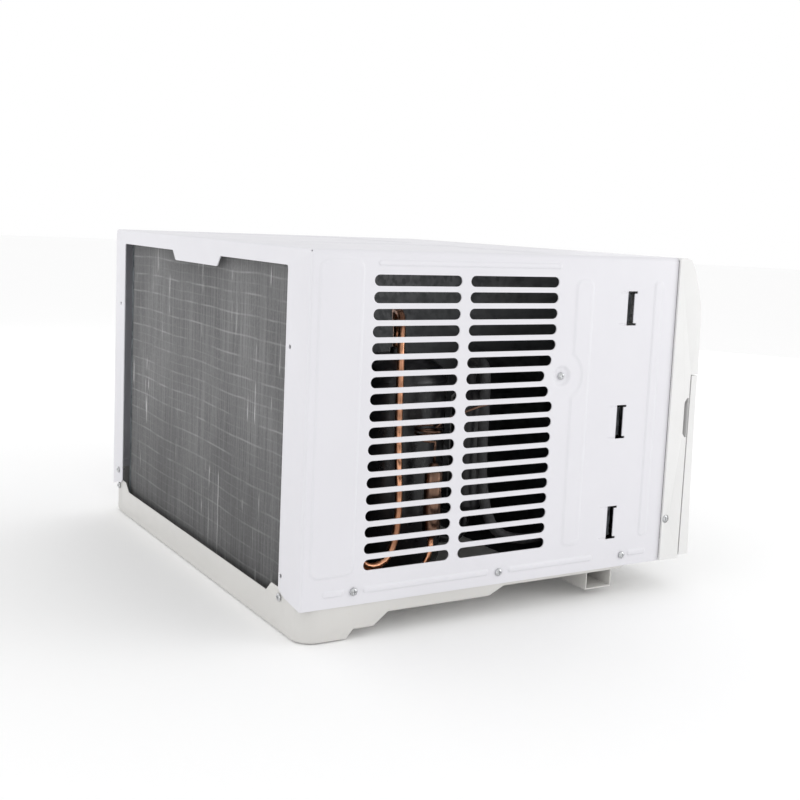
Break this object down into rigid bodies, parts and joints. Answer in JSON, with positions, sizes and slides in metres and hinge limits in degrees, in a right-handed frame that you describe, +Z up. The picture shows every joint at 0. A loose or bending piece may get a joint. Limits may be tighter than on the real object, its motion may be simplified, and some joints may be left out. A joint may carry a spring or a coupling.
{
  "type": "window air conditioner",
  "caption": "Boxy through-window air conditioner: louvred steel cabinet over a base pan, finned condenser behind, plastic front with intake grille, vanes and knobs.",
  "frame": {"origin": "middle of the footprint, at the underside of the base pan's lowest step", "axes": "+Z up; -Y out of the front into the room, +Y out of the finned back; X across the width, so -X is the left side seen from the front"},
  "size_m": [0.6, 0.5252, 0.388],
  "materials": {
    "cabinet_paint": "semi-gloss enamel",
    "pan_paint": "semi-gloss enamel",
    "bezel_plastic": "fine satin",
    "dark_plastic": "satin",
    "filter_mesh": "matte mesh",
    "galvanised": "zinc coated",
    "zinc_screw": "bright zinc",
    "aluminium_fin": "mill finish",
    "copper": "drawn copper",
    "black_enamel": "gloss enamel",
    "rubber": "matte",
    "foam": "moulded foam",
    "fan_plastic": "satin",
    "steel_shaft": "ground"
  },
  "bodies": {
    "chassis": {"base_pan": "pan_paint", "sill_rail": "pan_paint", "cabinet_wrap": "cabinet_paint", "condenser_fins": "aluminium_fin", "condenser_header_plate": "galvanised", "condenser_return_plate": "galvanised", "fan_shroud": "galvanised", "fan_motor": "black_enamel", "motor_bracket": "galvanised", "bulkhead": "galvanised", "scroll_housing": "foam", "evaporator_fins": "aluminium_fin", "evaporator_header_plate": "galvanised", "evaporator_return_plate": "galvanised", "drip_tray": "foam", "compressor": "black_enamel", "compressor_grommet_1": "rubber", "compressor_grommet_2": "rubber", "compressor_grommet_3": "rubber", "accumulator": "black_enamel", "discharge_tube": "copper", "liquid_tube": "copper", "filter_drier": "copper", "capillary_tube": "copper", "suction_tube": "rubber", "control_box": "galvanised", "run_capacitor": "aluminium_fin", "front_bezel": "bezel_plastic", "control_panel": "bezel_plastic", "thermostat_body": "dark_plastic", "selector_switch": "dark_plastic", "cord_gland": "dark_plastic", "rear_screw_1": "zinc_screw", "rear_screw_2": "zinc_screw", "rear_screw_3": "zinc_screw", "side_screw_1": "zinc_screw", "side_screw_2": "zinc_screw", "side_screw_3": "zinc_screw", "boss_screw": "zinc_screw", "bezel_screw": "zinc_screw"},
    "rotor": {"fan_shaft": "steel_shaft", "condenser_fan": "fan_plastic", "blower_wheel": "fan_plastic"},
    "grille": {"intake_grille": "bezel_plastic"},
    "filter": {"air_filter": "filter_mesh"},
    "temperature": {"temperature_knob": "dark_plastic"},
    "mode": {"mode_knob": "dark_plastic"},
    "button": {"swing_button": "dark_plastic"},
    "lever": {"vent_lever": "dark_plastic"},
    "damper": {"vent_damper": "galvanised"},
    "louvre_1": {"louvre_1": "bezel_plastic"},
    "louvre_2": {"louvre_2": "bezel_plastic"},
    "louvre_3": {"louvre_3": "bezel_plastic"},
    "louvre_bar": {"louvre_link": "bezel_plastic"},
    "vane_1": {"vane_1": "bezel_plastic"},
    "vane_2": {"vane_2": "bezel_plastic"},
    "vane_3": {"vane_3": "bezel_plastic"},
    "vane_4": {"vane_4": "bezel_plastic"},
    "vane_bar": {"vane_link": "bezel_plastic"}
  },
  "joints": [
    {"name": "rotor_spin", "type": "hinge", "parent": "chassis", "child": "rotor", "pos_m": [0.05, 0, 0.182], "axis": [0, 1, 0], "continuous": true},
    {"name": "grille_hinge", "type": "hinge", "parent": "chassis", "child": "grille", "pos_m": [0, -0.236, 0.0425], "axis": [1, 0, 0], "range_deg": [0, 60]},
    {"name": "filter_slide", "type": "slide", "parent": "chassis", "child": "filter", "axis": [1, 0, 0], "range_m": [0, 0.3]},
    {"name": "temperature_turn", "type": "hinge", "parent": "chassis", "child": "temperature", "pos_m": [0.165, -0.2469, 0.304], "axis": [0, 1, 0], "range_deg": [-135, 135]},
    {"name": "mode_turn", "type": "hinge", "parent": "chassis", "child": "mode", "pos_m": [0.213, -0.2469, 0.304], "axis": [0, 1, 0], "range_deg": [-120, 120]},
    {"name": "button_press", "type": "slide", "parent": "chassis", "child": "button", "axis": [0, 1, 0], "range_m": [0, 0.002], "stiffness_N_per_m": 300, "springref_m": -0.001},
    {"name": "vent_slide", "type": "slide", "parent": "chassis", "child": "lever", "axis": [1, 0, 0], "range_m": [0, 0.02]},
    {"name": "damper_hinge", "type": "hinge", "parent": "chassis", "child": "damper", "pos_m": [0.23, -0.0528, 0.3755], "axis": [1, 0, 0], "range_deg": [0, 45.2]},
    {"name": "louvre_1_tilt", "type": "hinge", "parent": "chassis", "child": "louvre_1", "pos_m": [-0.08, -0.226, 0.28], "axis": [1, 0, 0], "range_deg": [-35.2, 35.2]},
    {"name": "louvre_2_tilt", "type": "hinge", "parent": "chassis", "child": "louvre_2", "pos_m": [-0.08, -0.226, 0.304], "axis": [1, 0, 0], "range_deg": [-35.2, 35.2]},
    {"name": "louvre_3_tilt", "type": "hinge", "parent": "chassis", "child": "louvre_3", "pos_m": [-0.08, -0.226, 0.328], "axis": [1, 0, 0], "range_deg": [-35.2, 35.2]},
    {"name": "louvre_bar_lift", "type": "slide", "parent": "chassis", "child": "louvre_bar", "axis": [0, 0, 1], "range_m": [-0.0041, 0.0041]},
    {"name": "vane_1_swing", "type": "hinge", "parent": "chassis", "child": "vane_1", "pos_m": [-0.223, -0.196, 0.304], "axis": [0, 0, 1], "range_deg": [-35.2, 35.2]},
    {"name": "vane_2_swing", "type": "hinge", "parent": "chassis", "child": "vane_2", "pos_m": [-0.128, -0.196, 0.304], "axis": [0, 0, 1], "range_deg": [-35.2, 35.2]},
    {"name": "vane_3_swing", "type": "hinge", "parent": "chassis", "child": "vane_3", "pos_m": [-0.033, -0.196, 0.304], "axis": [0, 0, 1], "range_deg": [-35.2, 35.2]},
    {"name": "vane_4_swing", "type": "hinge", "parent": "chassis", "child": "vane_4", "pos_m": [0.062, -0.196, 0.304], "axis": [0, 0, 1], "range_deg": [-35.2, 35.2]},
    {"name": "vane_bar_shift", "type": "slide", "parent": "chassis", "child": "vane_bar", "axis": [-1, 0, 0], "range_m": [-0.0041, 0.0041]}
  ],
  "couplings": [
    {"joint": "damper_hinge", "follows": "vent_slide", "rad_per_m": 39.27},
    {"joint": "louvre_1_tilt", "follows": "louvre_bar_lift", "rad_per_m": 149.25},
    {"joint": "louvre_2_tilt", "follows": "louvre_bar_lift", "rad_per_m": 149.25},
    {"joint": "louvre_3_tilt", "follows": "louvre_bar_lift", "rad_per_m": 149.25},
    {"joint": "vane_1_swing", "follows": "vane_bar_shift", "rad_per_m": 149.25},
    {"joint": "vane_2_swing", "follows": "vane_bar_shift", "rad_per_m": 149.25},
    {"joint": "vane_3_swing", "follows": "vane_bar_shift", "rad_per_m": 149.25},
    {"joint": "vane_4_swing", "follows": "vane_bar_shift", "rad_per_m": 149.25}
  ]
}
